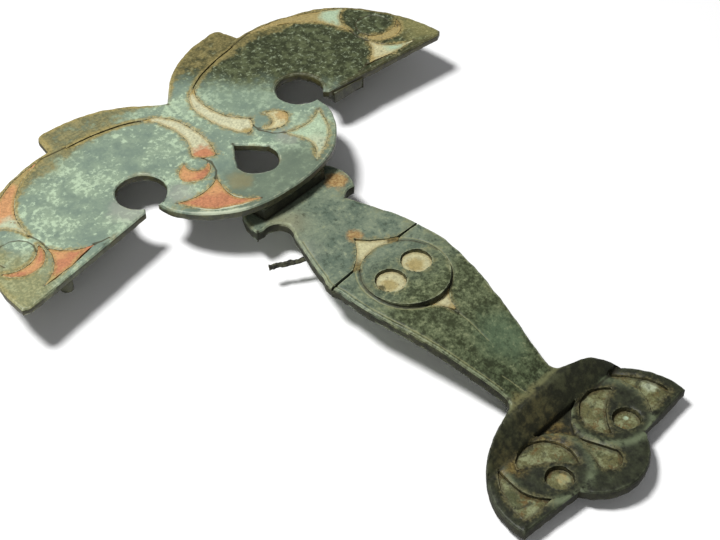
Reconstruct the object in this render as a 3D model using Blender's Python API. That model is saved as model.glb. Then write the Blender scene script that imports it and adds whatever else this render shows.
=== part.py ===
"""A winged bow brooch of cast copper alloy with enamel sunk in its cells, lying on its underside.

The brooch is laid out in the frame of its head plate: +X towards the right wing, +Y towards the
top of the head, +Z out of the plate's face, with zero at the notch in the middle of the top edge.
An empty then leans and lowers the whole brooch until the head's top edge and the foot's end touch
the ground, and centres it over the origin.
"""
import math

import bmesh
import bpy
import numpy as np
from mathutils import Matrix, Vector

# Driving sizes of the head plate, in metres
HEAD_HALF_WIDTH = 0.0380
HEAD_THICKNESS = 0.0013
NOTCH_RADIUS = 0.0033
D_HOLE_RADIUS = 0.0029
D_HOLE_LENGTH = 0.0070
WING_LUG_RADIUS = 0.00085
WING_LUG_DEPTH = 0.0018
WING_FLANGE_DEPTH = 0.0012
WING_FLANGE_WIDTH = 0.0018
WING_FLANGE_LENGTH = 0.0054
PETAL_LINE_WIDTH = 0.0004
PETAL_LINE_DEPTH = 0.00025

# Driving sizes of the bow
BOW_THICKNESS = 0.0017
BOW_HALF_WIDTH = 0.0081
BOW_REACH = 0.0393
BOW_OVERLAP = 0.0040
NECK_DROP = 0.0018
LOBE_REACH_RIGHT = 0.0031
LOBE_REACH_LEFT = 0.0004
LOBE_WIDENING_RIGHT = 1.04
LOBE_WIDENING_LEFT = 0.97
BOSS_RADIUS = 0.0057
BOSS_HOLE_RADIUS = 0.0020
BOSS_HOLE_SPACING = 0.0048
BREAK_WIDTH = 0.00025
BREAK_DEPTH = 0.0006
BREAK_JOG = 0.0004

# Driving sizes of the foot
FOOT_FALL = 0.0100
RIDGE_FALL = 0.0028
FOOT_HALF_WIDTH = 0.0153
FOOT_THICKNESS = 0.0016
FOOT_TURN = math.radians(-2.5)
FOOT_HOLE_RADIUS = 0.00175
RECESS_HALF_WIDTH = 0.0042
RECESS_BITE = 0.0004

# Driving sizes of what is left of the pin's fittings
JOINT_BLOCK_WIDTH = 0.0110
JOINT_BLOCK_DEPTH = 0.0028
JOINT_SETBACK = 0.0006
SPRING_LUG_WIDTH = 0.0016
SPRING_LUG_LENGTH = 0.0020
SPRING_LUG_DROP = 0.0012
AXIS_BAR_RADIUS = 0.00042
AXIS_BAR_LENGTH = 0.0088
AXIS_BAR_SLANT = math.radians(151)
CATCHPLATE_THICKNESS = 0.0012
CATCHPLATE_LENGTH = 0.0110
CATCHPLATE_DEPTH = 0.0022

# Cells, enamel, fits and the fineness of curves
CELL_DEPTH = 0.0006
HOLE_DEPTH = 0.0009
ENAMEL_SINK = 0.00012
ENAMEL_GAP = 0.00010
ENAMEL_BED = 0.0003
SEAT_GAP = 0.00010
CHAMFER = 0.00022
OVERSHOOT = 0.0010
CURVE_STEPS = 5
ARC_STEP = math.radians(14)
STRAIGHT = 0.01
SAME_POINT = 1e-7

# Free outline of the head, as shares of its half width. In every outline here, a run of two
# points is a straight side, a run of three an arc through them, and a longer one a smooth curve.
PENDANT_TIP = -0.652
D_HOLE_TOP = -0.345
NOTCH_CENTRE = (0.381, -0.290)
NOTCH_TURNS = (-57, 122, -87)
WING_CUSP = (0.441, -0.380)
HEAD_CREST = [(0.0, 0.0), (0.055, 0.052), (0.130, 0.118), (0.220, 0.165), (0.310, 0.190), (0.385, 0.197)]
HEAD_CORNER = [(0.385, 0.197), (0.432, 0.188), (0.443, 0.160)]
WING_STEP = [(0.443, 0.160), (0.455, 0.108)]
WING_BACK = [(0.455, 0.108), (0.560, 0.100), (0.690, 0.066), (0.800, 0.010), (0.890, -0.080),
             (0.955, -0.200), (0.990, -0.320), (1.000, -0.435)]
WING_END = [(1.000, -0.435), (0.975, -0.447)]
PENDANT_SIDE = [(0.372, -0.450), (0.320, -0.530), (0.225, -0.607), (0.110, -0.643), (0.0, PENDANT_TIP)]
WING_LUG_PLACE = (-0.800, -0.395)
WING_FLANGE_PLACE = (0.462, -0.390)
WING_FLANGE_SLOPE = -0.09
HEAD_CELLS = {
    "wing_crescent": [
        [(0.500, 0.090), (0.620, 0.074), (0.740, 0.020), (0.862, -0.060)],
        [(0.862, -0.060), (0.800, -0.100), (0.772, -0.185)],
        [(0.772, -0.185), (0.746, -0.085), (0.690, -0.008), (0.610, 0.052), (0.500, 0.090)],
    ],
    "wing_dot_crescent": [
        [(0.778, -0.235), (0.868, -0.330), (0.945, -0.262)],
        [(0.945, -0.262), (0.862, -0.292), (0.778, -0.235)],
    ],
    "wing_triangle": [
        [(0.768, -0.278), (0.728, -0.335), (0.655, -0.374)],
        [(0.655, -0.374), (0.770, -0.396), (0.885, -0.403)],
        [(0.885, -0.403), (0.802, -0.352), (0.768, -0.278)],
    ],
    "head_teardrop": [
        [(0.128, -0.006), (0.080, -0.030), (0.045, -0.090), (0.036, -0.160), (0.044, -0.250), (0.078, -0.338)],
        [(0.078, -0.338), (0.112, -0.322), (0.140, -0.282)],
        [(0.140, -0.282), (0.096, -0.210), (0.084, -0.130), (0.096, -0.055), (0.128, -0.006)],
    ],
    "notch_crescent": [
        [(0.186, -0.292), (0.236, -0.318), (0.248, -0.362), (0.200, -0.397), (0.150, -0.382), (0.124, -0.346)],
        [(0.124, -0.346), (0.180, -0.352), (0.186, -0.292)],
    ],
    "pendant_triangle": [
        [(0.342, -0.424), (0.252, -0.450), (0.166, -0.430)],
        [(0.166, -0.430), (0.190, -0.510), (0.180, -0.562), (0.132, -0.612)],
        [(0.132, -0.612), (0.218, -0.575), (0.290, -0.520), (0.342, -0.424)],
    ],
}
PETAL_LINE = [(0.128, -0.006), (0.200, 0.030), (0.300, 0.058), (0.400, 0.074)]

# Free form of the bow: how far its face has fallen, as shares of its reach and of the foot's
# fall, and places along it as shares of its reach.
PROFILE = [(-0.12, 0.0), (0.05, 0.0), (0.29, 0.070), (0.464, 0.095), (0.628, 0.170), (0.725, 0.265),
           (0.800, 0.375), (0.900, 0.530), (0.965, 0.655), (0.985, 0.672), (1.010, 0.672)]
RIDGE_SHARE = 0.985
RIDGE_END = 1.010
BREAK_SHARE = 0.345
BOSS_SHARE = 0.464
CATCHPLATE_SHARE = 0.60
BAR_SHARE = 0.156
TORN_EDGE = [(0.0, 0.35), (0.12, 0.92), (0.30, 1.0), (0.45, 0.70), (0.62, 0.86), (0.80, 0.55), (1.0, 0.20)]

# Free outlines on the foot, as shares of its half width, from the line through its wing tips.
FOOT_TIP_SHARE = 0.730
FOOT_TIP = (0.990, 0.003)
FOOT_CORNER = (0.410, -0.035)
FOOT_END = -0.288
FOOT_SHOULDER = [(0.604, 0.672), (0.743, 0.601), (0.856, 0.484), (0.944, 0.348), (0.987, 0.211), (1.000, 0.085)]
FOOT_HOLE_PLACE = (0.412, 0.150)
FOOT_CELLS = {
    "foot_comma": [
        [(0.590, 0.425), (0.215, 0.470), (0.205, 0.130)],
        [(0.205, 0.130), (0.352, 0.305), (0.590, 0.425)],
    ],
    "foot_triangle": [
        [(0.684, 0.535), (0.800, 0.400), (0.878, 0.250), (0.900, 0.075)],
        [(0.900, 0.075), (0.600, 0.055)],
        [(0.600, 0.055), (0.680, 0.165), (0.715, 0.300), (0.684, 0.535)],
    ],
}
FOOT_DROP_CELL = [
    [(0.000, 0.285), (0.070, 0.110), (0.112, 0.005)],
    [(0.112, 0.005), (0.000, -0.105), (-0.112, 0.005)],
    [(-0.112, 0.005), (-0.070, 0.110), (0.000, 0.285)],
]
RECESS_SIDE = (0.120, 0.470)
RECESS_TIP = (0.000, 0.340)


def clear_scene():
    for item in list(bpy.data.objects):
        bpy.data.objects.remove(item, do_unlink=True)


def new_collection(name):
    group = bpy.data.collections.new(name)
    bpy.context.scene.collection.children.link(group)
    return group


def make_material(name, colour, roughness, metallic):
    material = bpy.data.materials.new(name)
    material.use_nodes = True
    shader = material.node_tree.nodes["Principled BSDF"]
    shader.inputs["Base Color"].default_value = (*colour, 1.0)
    shader.inputs["Roughness"].default_value = roughness
    shader.inputs["Metallic"].default_value = metallic
    return material


# Outlines
def arc_run(start, through, end):
    (ax, ay), (bx, by), (cx, cy) = start, through, end
    d = 2 * (ax * (by - cy) + bx * (cy - ay) + cx * (ay - by))
    if abs(d) < STRAIGHT * math.dist(start, end) ** 2:
        return [start, through]
    a2, b2, c2 = ax * ax + ay * ay, bx * bx + by * by, cx * cx + cy * cy
    ux = (a2 * (by - cy) + b2 * (cy - ay) + c2 * (ay - by)) / d
    uy = (a2 * (cx - bx) + b2 * (ax - cx) + c2 * (bx - ax)) / d
    radius = math.hypot(ax - ux, ay - uy)
    first, middle, last = (math.atan2(y - uy, x - ux) for x, y in (start, through, end))
    sweep = (last - first) % math.tau
    if (middle - first) % math.tau > sweep:
        sweep -= math.tau
    count = max(2, math.ceil(abs(sweep) / ARC_STEP))
    angles = [first + sweep * k / count for k in range(count)]
    return [(ux + radius * math.cos(t), uy + radius * math.sin(t)) for t in angles]


def smooth_run(points):
    """A curve through all the points, each stretch a cubic that heads from its neighbours."""
    ends = [np.array(points[0]) * 2 - np.array(points[1]), np.array(points[-1]) * 2 - np.array(points[-2])]
    knots = [ends[0], *map(np.array, points), ends[1]]
    run = []
    for before, start, end, after in zip(knots, knots[1:], knots[2:], knots[3:]):
        for k in range(CURVE_STEPS):
            t = k / CURVE_STEPS
            value = (2 * start + (end - before) * t + (2 * before - 5 * start + 4 * end - after) * t * t
                     + (3 * start - before - 3 * end + after) * t ** 3) / 2
            run.append(tuple(value))
    return run


def outline(runs, scale=1.0):
    points = []
    for run in runs:
        if len(run) == 2:
            points.append(run[0])
        elif len(run) == 3:
            points.extend(arc_run(*run))
        else:
            points.extend(smooth_run(run))
    return [(x * scale, y * scale) for x, y in points]


def circle(centre, radius, sides=24):
    turns = [math.tau * k / sides for k in range(sides)]
    return [(centre[0] + radius * math.cos(t), centre[1] + radius * math.sin(t)) for t in turns]


def mirrored(points):
    return [(-x, y) for x, y in reversed(points)]


def distance_to_edge(point, ring):
    starts = np.array(ring)
    spans = np.roll(starts, -1, axis=0) - starts
    shares = ((point - starts) * spans).sum(axis=1) / (spans * spans).sum(axis=1)
    feet = starts + spans * np.clip(shares, 0.0, 1.0)[:, None]
    return float(np.linalg.norm(feet - point, axis=1).min())


def inset(points, distance):
    """Draw a closed outline in by a distance; a sharp tip draws back to where its sides meet."""
    ring = np.array(points)
    following = np.roll(ring, -1, axis=0)
    area = float((ring[:, 0] * following[:, 1] - following[:, 0] * ring[:, 1]).sum())
    turn = math.copysign(1.0, area)
    drawn = []
    for before, here, after in zip(np.roll(ring, 1, axis=0), ring, following):
        a, b = here - before, after - here
        a, b = a / np.linalg.norm(a), b / np.linalg.norm(b)
        bisector = np.array([-(a + b)[1], (a + b)[0]]) * turn
        bisector = bisector / np.linalg.norm(bisector)
        moved = here + bisector * distance / max(0.3, abs(float(bisector @ np.array([-a[1], a[0]]))))
        if distance_to_edge(moved, ring) > distance * 0.95:
            drawn.append(tuple(moved))
    return drawn


# Solids
def to_mesh(item, group):
    """Turn a curve object into a mesh object with welded caps."""
    depsgraph = bpy.context.evaluated_depsgraph_get()
    mesh = bpy.data.meshes.new_from_object(item.evaluated_get(depsgraph))
    form = bmesh.new()
    form.from_mesh(mesh)
    bmesh.ops.remove_doubles(form, verts=form.verts, dist=SAME_POINT)
    bmesh.ops.recalc_face_normals(form, faces=form.faces)
    if form.calc_volume(signed=True) < 0:
        bmesh.ops.reverse_faces(form, faces=form.faces)
    form.to_mesh(mesh)
    form.free()
    name, matrix = item.name, item.matrix_world.copy()
    bpy.data.objects.remove(item, do_unlink=True)
    solid = bpy.data.objects.new(name, mesh)
    solid.matrix_world = matrix
    group.objects.link(solid)
    return solid


def plate(name, outlines, bottom, top, group, chamfer=0.0):
    """A flat plate between two heights; the first outline is its edge and the others its holes."""
    curve = bpy.data.curves.new(name, "CURVE")
    curve.dimensions = "2D"
    curve.fill_mode = "BOTH"
    curve.extrude = (top - bottom) / 2 - chamfer
    curve.bevel_depth = chamfer
    curve.bevel_resolution = 0
    curve.offset = -chamfer
    for ring in outlines:
        spline = curve.splines.new("POLY")
        spline.points.add(len(ring) - 1)
        for point, (x, y) in zip(spline.points, ring):
            point.co = (x, y, 0.0, 1.0)
        spline.use_cyclic_u = True
    item = bpy.data.objects.new(name, curve)
    item.location = (0.0, 0.0, (top + bottom) / 2)
    group.objects.link(item)
    bpy.context.view_layer.update()
    return to_mesh(item, group)


def tube(name, start, end, radius, group):
    curve = bpy.data.curves.new(name, "CURVE")
    curve.dimensions = "3D"
    curve.bevel_depth = radius
    curve.bevel_resolution = 1
    curve.use_fill_caps = True
    spline = curve.splines.new("POLY")
    spline.points.add(1)
    spline.points[0].co = (*start, 1.0)
    spline.points[1].co = (*end, 1.0)
    item = bpy.data.objects.new(name, curve)
    group.objects.link(item)
    bpy.context.view_layer.update()
    return to_mesh(item, group)


def hide_cutter(item):
    item.hide_render = True
    item.display_type = "WIRE"


def combine(solid, others, operation):
    """Join the other solids to this one, or cut them out of it, and keep only the result."""
    for other in others:
        change = solid.modifiers.new(operation.title(), "BOOLEAN")
        change.operation = operation
        change.solver = "EXACT"
        change.object = other
        depsgraph = bpy.context.evaluated_depsgraph_get()
        mesh = bpy.data.meshes.new_from_object(solid.evaluated_get(depsgraph))
        solid.modifiers.remove(change)
        old = solid.data
        solid.data = mesh
        bpy.data.meshes.remove(old)
        if operation == "UNION":
            bpy.data.objects.remove(other, do_unlink=True)
        else:
            hide_cutter(other)


def finish(item, material, frame):
    """Clean a finished piece, shade its curves smooth, and give it its material and its parent."""
    form = bmesh.new()
    form.from_mesh(item.data)
    bmesh.ops.transform(form, matrix=item.matrix_world, verts=form.verts)
    bmesh.ops.remove_doubles(form, verts=form.verts, dist=SAME_POINT * 20)
    bmesh.ops.dissolve_degenerate(form, edges=form.edges, dist=SAME_POINT * 10)
    form.to_mesh(item.data)
    form.free()
    item.matrix_world = Matrix.Identity(4)
    item.data.materials.clear()
    item.data.materials.append(material)
    item.data.shade_smooth()
    item.data.set_sharp_from_angle(angle=math.radians(30))
    item.parent = frame


# Cells. The cutter of each is kept, and the enamel takes its place from it.
def cell_and_enamel(name, shape, top, depth, cutters, group):
    cutter = plate("cut_" + name, [shape], top - depth, top + OVERSHOOT, cutters)
    fill = plate(name + "_enamel", [inset(shape, ENAMEL_GAP)], top - depth + ENAMEL_GAP, top - ENAMEL_SINK, group)
    return cutter, fill


def hole_and_enamel(name, ring, top, cutters, group):
    """A round hole with a thin bed of enamel left on its floor."""
    cutter = plate("cut_" + name, [ring], top - HOLE_DEPTH, top + OVERSHOOT, cutters)
    floor = top - HOLE_DEPTH + ENAMEL_GAP
    fill = plate(name + "_enamel", [inset(ring, ENAMEL_GAP)], floor, floor + ENAMEL_BED, group)
    return cutter, fill


# Head plate
def on_head(point):
    return (point[0] * HEAD_HALF_WIDTH, point[1] * HEAD_HALF_WIDTH)


def on_notch(degrees):
    radius = NOTCH_RADIUS / HEAD_HALF_WIDTH
    turn = math.radians(degrees)
    return (NOTCH_CENTRE[0] + radius * math.cos(turn), NOTCH_CENTRE[1] + radius * math.sin(turn))


def head_outline():
    """The whole edge, from the notch in the top round the wing to the pendant's tip and back."""
    mouth, far, horn = (on_notch(turn) for turn in NOTCH_TURNS)
    runs = [HEAD_CREST, HEAD_CORNER, WING_STEP, WING_BACK, WING_END, [WING_END[-1], WING_CUSP],
            [WING_CUSP, mouth], [mouth, far, horn], [horn, *PENDANT_SIDE]]
    right = outline(runs) + [PENDANT_SIDE[-1]]
    return [on_head(point) for point in right + mirrored(right[1:-1])]


def d_hole():
    """The pierced drop between the petals: pointed above, round below."""
    apex = on_head((0.0, D_HOLE_TOP))
    middle = apex[1] - D_HOLE_LENGTH + D_HOLE_RADIUS
    side = (D_HOLE_RADIUS * 0.98, middle + D_HOLE_RADIUS * 0.2)
    flank = (D_HOLE_RADIUS * 0.45, (apex[1] + side[1]) / 2 + D_HOLE_RADIUS * 0.12)
    lower = (side[0] * 0.74, middle - D_HOLE_RADIUS * 0.70)
    bottom = (0.0, middle - D_HOLE_RADIUS)
    right = outline([[apex, flank, side], [side, lower, bottom]])
    return right + [bottom] + mirrored(right[1:])


def strip(points, width):
    """The outline of a band that runs along a smooth line and narrows towards its far end."""
    line = np.array(smooth_run(points) + [points[-1]])
    along = np.gradient(line, axis=0)
    along /= np.linalg.norm(along, axis=1)[:, None]
    across = np.stack([-along[:, 1], along[:, 0]], axis=1)
    half = width / 2 * np.linspace(1.0, 0.25, len(line))[:, None]
    return [tuple(p) for p in line + across * half] + [tuple(p) for p in (line - across * half)[::-1]]


def wing_lug(cutters):
    bottom = -HEAD_THICKNESS - WING_LUG_DEPTH
    ring = circle(on_head(WING_LUG_PLACE), WING_LUG_RADIUS, 12)
    return plate("wing_lug", [ring], bottom, -HEAD_THICKNESS / 2, cutters)


def wing_flange(cutters):
    x, y = on_head(WING_FLANGE_PLACE)
    fall = WING_FLANGE_LENGTH * WING_FLANGE_SLOPE
    shape = [(x, y + WING_FLANGE_WIDTH), (x, y), (x + WING_FLANGE_LENGTH, y + fall),
             (x + WING_FLANGE_LENGTH - WING_FLANGE_WIDTH, y + fall + WING_FLANGE_WIDTH)]
    bottom = -HEAD_THICKNESS - WING_FLANGE_DEPTH
    return plate("wing_flange", [shape], bottom, -HEAD_THICKNESS / 2, cutters)


def build_head(group, cutters, bronze, enamels, frame):
    head = plate("head_plate", [head_outline(), d_hole()], -HEAD_THICKNESS, 0.0, group, CHAMFER)
    combine(head, [wing_lug(cutters), wing_flange(cutters)], "UNION")
    cuts = []
    fills = []
    for name, runs in HEAD_CELLS.items():
        right = outline(runs, HEAD_HALF_WIDTH)
        for side, shape in (("right", right), ("left", mirrored(right))):
            cutter, fill = cell_and_enamel(side + "_" + name, shape, 0.0, CELL_DEPTH, cutters, group)
            cuts.append(cutter)
            fills.append(fill)
    groove = strip([on_head(point) for point in PETAL_LINE], PETAL_LINE_WIDTH)
    for side, shape in (("right", groove), ("left", mirrored(groove))):
        cuts.append(plate("cut_petal_line_" + side, [shape], -PETAL_LINE_DEPTH, OVERSHOOT, cutters))
    combine(head, cuts, "DIFFERENCE")
    finish(head, bronze, frame)
    for fill in fills:
        finish(fill, enamels[fill.name], frame)


# Bow and foot, laid out along the axis from the pendant's rim
def pendant_rim():
    return PENDANT_TIP * HEAD_HALF_WIDTH


def along_bow(share):
    return pendant_rim() - share * BOW_REACH


def foot_y(share):
    """A place on the foot, as a share of its half width beyond the line through its wing tips."""
    return along_bow(1.0) + (share - FOOT_TIP_SHARE) * FOOT_HALF_WIDTH


def on_foot(point):
    return (point[0] * FOOT_HALF_WIDTH, foot_y(point[1]))


def neck_level():
    return -HEAD_THICKNESS - NECK_DROP


def foot_level():
    return neck_level() - FOOT_FALL


def bow_top(y):
    """The height of the bow's face under the head's face, at a place along the axis."""
    shares, falls = zip(*PROFILE)
    height = neck_level() - FOOT_FALL * float(np.interp((pendant_rim() - y) / BOW_REACH, shares, falls))
    past_ridge = along_bow(RIDGE_END) - y
    if past_ridge > 0:
        height += (foot_level() - height) * min(1.0, past_ridge / RIDGE_FALL)
    return height


def bow_side(lobe_reach, lobe_width):
    """One side of the bow and foot from the head end to the foot's corner, to the right."""
    w = BOW_HALF_WIDTH
    rim, head_end = pendant_rim(), pendant_rim() + BOW_OVERLAP
    waist = (w * 0.60, along_bow(0.095))
    ridge_side = (w * 0.485, along_bow(0.962))
    lobe_end = (w * 0.86 * lobe_width, rim - lobe_reach)
    return outline([
        [(0.0, head_end), (w * 0.80, head_end)],
        [(w * 0.80, head_end), (w * 0.95 * lobe_width, rim + BOW_OVERLAP * 0.55), (w * lobe_width, rim),
         (w * 0.96 * lobe_width, rim - lobe_reach * 0.6), lobe_end],
        [lobe_end, (w * 0.68, rim - lobe_reach * 1.02), waist],
        [waist, (w * 0.78, along_bow(0.190)), (w * 0.935, along_bow(0.290)), (w, along_bow(0.425)),
         (w * 0.95, along_bow(0.535)), (w * 0.74, along_bow(0.725)), (w * 0.515, along_bow(0.918)), ridge_side],
        [ridge_side, (w * 0.56, along_bow(0.984)), (w * 0.86, along_bow(1.005)),
         *map(on_foot, FOOT_SHOULDER), on_foot(FOOT_TIP)],
        [on_foot(FOOT_TIP), on_foot((FOOT_TIP[0] - 0.03, FOOT_TIP[1] - 0.03))],
    ])


def bow_outline():
    right = bow_side(LOBE_REACH_RIGHT, LOBE_WIDENING_RIGHT)
    left = bow_side(LOBE_REACH_LEFT, LOBE_WIDENING_LEFT)
    corner = on_foot(FOOT_CORNER)
    far_corner = (-corner[0], corner[1])
    terminal = arc_run(corner, (0.0, foot_y(FOOT_END)), far_corner)
    edge = right[1:] + terminal + [far_corner] + mirrored(left[1:])
    break_at = along_bow(BREAK_SHARE)
    return [(x - BREAK_JOG if x < 0 and 0 < y - break_at < BREAK_JOG * 3 else x, y) for x, y in edge]


def bow_stations():
    shares = list(np.arange(0.05, 0.96, 0.05)) + [RIDGE_SHARE, RIDGE_END]
    return [along_bow(s) for s in shares] + [along_bow(RIDGE_END) - RIDGE_FALL]


def bend_bow(item):
    """Cross-cut the flat plate at each station and lower it to the bow's profile."""
    form = bmesh.new()
    form.from_mesh(item.data)
    bmesh.ops.transform(form, matrix=item.matrix_world, verts=form.verts)
    for y in bow_stations():
        parts = form.verts[:] + form.edges[:] + form.faces[:]
        bmesh.ops.bisect_plane(form, geom=parts, dist=SAME_POINT, plane_co=(0.0, y, 0.0), plane_no=(0.0, 1.0, 0.0))
    foot_start = along_bow(RIDGE_END) - RIDGE_FALL
    for vertex in form.verts:
        under = vertex.co.z < -BOW_THICKNESS / 2
        vertex.co.z += bow_top(vertex.co.y)
        if under and vertex.co.y <= foot_start + SAME_POINT * 10:
            vertex.co.z -= FOOT_THICKNESS - BOW_THICKNESS
    form.to_mesh(item.data)
    form.free()
    item.matrix_world = Matrix.Identity(4)


def turn_foot(item):
    """Turn the foot a little about the ridge, as the cast foot sits askew on the bow."""
    pivot = Vector((0.0, along_bow(RIDGE_SHARE), 0.0))
    for vertex in item.data.vertices:
        past = min(1.0, max(0.0, (pivot.y + RIDGE_FALL - vertex.co.y) / RIDGE_FALL))
        turn = Matrix.Rotation(FOOT_TURN * past, 3, "Z")
        vertex.co = pivot + turn @ (vertex.co - pivot)


def foot_recess():
    """The recess below the ridge, whose top edge bites a little into the ridge's fall."""
    x, y = RECESS_HALF_WIDTH, along_bow(RIDGE_END) - RIDGE_FALL + RECESS_BITE
    side, tip = on_foot(RECESS_SIDE), on_foot(RECESS_TIP)
    return outline([[(-x, y), (x, y)], [(x, y), side, tip], [tip, (-side[0], side[1]), (-x, y)]])


def boss_centre():
    return (0.0, along_bow(BOSS_SHARE))


def bow_triangles():
    """The cell above the boss and the one below it, both three-sided with drawn-in sides."""
    x, y = boss_centre()
    r = BOSS_RADIUS
    head = [
        [(0.0, y + r * 1.50), (-r * 0.26, y + r * 1.20), (-r * 0.76, y + r * 0.86)],
        [(-r * 0.76, y + r * 0.86), (0.0, y + r * 0.60), (r * 0.76, y + r * 0.86)],
        [(r * 0.76, y + r * 0.86), (r * 0.26, y + r * 1.20), (0.0, y + r * 1.50)],
    ]
    tail = [
        [(-r * 0.42, y - r * 0.90), (-r * 0.12, y - r * 1.18), (0.0, y - r * 1.55)],
        [(0.0, y - r * 1.55), (r * 0.12, y - r * 1.18), (r * 0.42, y - r * 0.90)],
        [(r * 0.42, y - r * 0.90), (0.0, y - r * 0.70), (-r * 0.42, y - r * 0.90)],
    ]
    return {"bow_head": outline(head), "bow_tail": outline(tail)}


def break_cutter(cutters):
    """The thin crack across the bow, from each edge to the corners of the cell above the boss."""
    y = along_bow(BREAK_SHARE)
    half, reach = BREAK_WIDTH / 2, BOW_HALF_WIDTH * 1.2
    corner = (BOSS_RADIUS * 0.70, boss_centre()[1] + BOSS_RADIUS * 0.86)
    top = bow_top(y)
    cuts = []
    for side in (-1, 1):
        ends = [(side * corner[0], corner[1]), (side * reach, y)]
        (x0, y0), (x1, y1) = ends if side > 0 else ends[::-1]
        shape = [(x0, y0 - half), (x1, y1 - half), (x1, y1 + half), (x0, y0 + half)]
        cuts.append(plate("cut_break", [shape], top - BREAK_DEPTH, top + OVERSHOOT, cutters))
    return cuts


def joint_block(cutters):
    """The block between the head plate's back and the neck, which carries the one on the other."""
    x, y = JOINT_BLOCK_WIDTH / 2, pendant_rim() + JOINT_SETBACK
    shape = [(-x, y), (x, y), (x, y + JOINT_BLOCK_DEPTH), (-x, y + JOINT_BLOCK_DEPTH)]
    return plate("joint_block", [shape], neck_level() - BOW_THICKNESS / 2, -HEAD_THICKNESS - SEAT_GAP, cutters)


def bar_ends():
    """The remains of the spring's bar, from under the neck out past the bow's left side."""
    y = along_bow(BAR_SHARE)
    z = bow_top(y) - BOW_THICKNESS - AXIS_BAR_RADIUS - SEAT_GAP * 2
    side = Vector((-BOW_HALF_WIDTH * 0.655, y, z))
    slant = Vector((math.cos(AXIS_BAR_SLANT), math.sin(AXIS_BAR_SLANT), 0.0))
    return side - slant * AXIS_BAR_LENGTH * 0.45, side + slant * AXIS_BAR_LENGTH * 0.55


def spring_lug(cutters):
    """The lug under the neck that still holds the bar, with the bar's hole through it."""
    inner, outer = bar_ends()
    middle = inner.lerp(outer, 0.25)
    top = bow_top(middle.y) - BOW_THICKNESS / 2
    bottom = middle.z - SPRING_LUG_DROP
    bpy.ops.mesh.primitive_cube_add(size=1.0)
    lug = bpy.context.active_object
    lug.scale = (SPRING_LUG_WIDTH, SPRING_LUG_LENGTH, top - bottom)
    lug.rotation_euler = (0.0, 0.0, AXIS_BAR_SLANT)
    lug.location = (middle.x, middle.y, (top + bottom) / 2)
    for owner in list(lug.users_collection):
        owner.objects.unlink(lug)
    cutters.objects.link(lug)
    bpy.context.view_layer.update()
    return lug


def catchplate(cutters):
    """What is left of the catchplate: a torn fin along the axis under the lower bow."""
    start = along_bow(CATCHPLATE_SHARE)
    end = start - CATCHPLATE_LENGTH
    lower = []
    for share, depth in TORN_EDGE:
        y = start + (end - start) * share
        lower.append((y, bow_top(y) - BOW_THICKNESS - CATCHPLATE_DEPTH * depth))
    inside = BOW_THICKNESS / 2
    upper = [(end, bow_top(end) - inside), (start, bow_top(start) - inside)]
    fin = plate("catchplate", [lower + upper], -CATCHPLATE_THICKNESS / 2, CATCHPLATE_THICKNESS / 2, cutters)
    upright = Matrix(((0, 0, 1, 0), (1, 0, 0, 0), (0, 1, 0, 0), (0, 0, 0, 1)))
    fin.matrix_world = upright @ fin.matrix_world
    bpy.context.view_layer.update()
    return fin


def raise_boss(bow, triangles, cutters):
    """Set the round boss on the bow, level with its face at the boss's head end."""
    x, y = boss_centre()
    top = bow_top(y + BOSS_RADIUS)
    bottom = top - BOW_THICKNESS
    combine(bow, [plate("boss", [circle((x, y), BOSS_RADIUS, 32)], bottom, top, cutters)], "UNION")
    round_it = plate("cut_round_boss", [circle((x, y), BOSS_RADIUS + SEAT_GAP, 32)], bottom, top, cutters)
    for fill in triangles:
        combine(fill, [round_it], "DIFFERENCE")
    return top


def build_bow(group, cutters, bronze, enamels, frame):
    bow = plate("bow", [bow_outline()], -BOW_THICKNESS, 0.0, group, CHAMFER)
    bend_bow(bow)
    combine(bow, [joint_block(cutters), spring_lug(cutters), catchplate(cutters)], "UNION")
    pairs = []
    for name, shape in bow_triangles().items():
        level = bow_top(sum(y for x, y in shape) / len(shape))
        pairs.append(cell_and_enamel(name, shape, level, CELL_DEPTH, cutters, group))
    bore = tube("bar_bore", *bar_ends(), AXIS_BAR_RADIUS + SEAT_GAP, cutters)
    combine(bow, [bore] + [cutter for cutter, fill in pairs] + break_cutter(cutters), "DIFFERENCE")
    fills = [fill for cutter, fill in pairs]
    boss_top = raise_boss(bow, fills, cutters)
    pairs = [cell_and_enamel("foot_drop", outline([list(map(on_foot, run)) for run in FOOT_DROP_CELL]),
                             foot_level(), CELL_DEPTH, cutters, group)]
    for side, sign in (("left", -1), ("right", 1)):
        ring = circle((sign * BOSS_HOLE_SPACING / 2, boss_centre()[1] + BOSS_RADIUS * 0.06), BOSS_HOLE_RADIUS, 20)
        pairs.append(hole_and_enamel(side + "_boss_hole", ring, boss_top, cutters, group))
        x, y = on_foot(FOOT_HOLE_PLACE)
        ring = circle((sign * x, y), FOOT_HOLE_RADIUS, 18)
        pairs.append(hole_and_enamel(side + "_foot_hole", ring, foot_level(), cutters, group))
        for name, runs in FOOT_CELLS.items():
            right = outline([list(map(on_foot, run)) for run in runs])
            shape = right if sign > 0 else mirrored(right)
            pairs.append(cell_and_enamel(side + "_" + name, shape, foot_level(), CELL_DEPTH, cutters, group))
    cuts = [cutter for cutter, fill in pairs]
    bottom, top = foot_level() - CELL_DEPTH, foot_level() + OVERSHOOT
    cuts.append(plate("cut_foot_recess", [foot_recess()], bottom, top, cutters))
    combine(bow, cuts, "DIFFERENCE")
    turn_foot(bow)
    finish(bow, bronze, frame)
    for fill in fills + [fill for cutter, fill in pairs]:
        turn_foot(fill)
        finish(fill, enamels[fill.name], frame)


def build_bar(group, material, frame):
    bar = tube("axis_bar", *bar_ends(), AXIS_BAR_RADIUS, group)
    finish(bar, material, frame)


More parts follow.
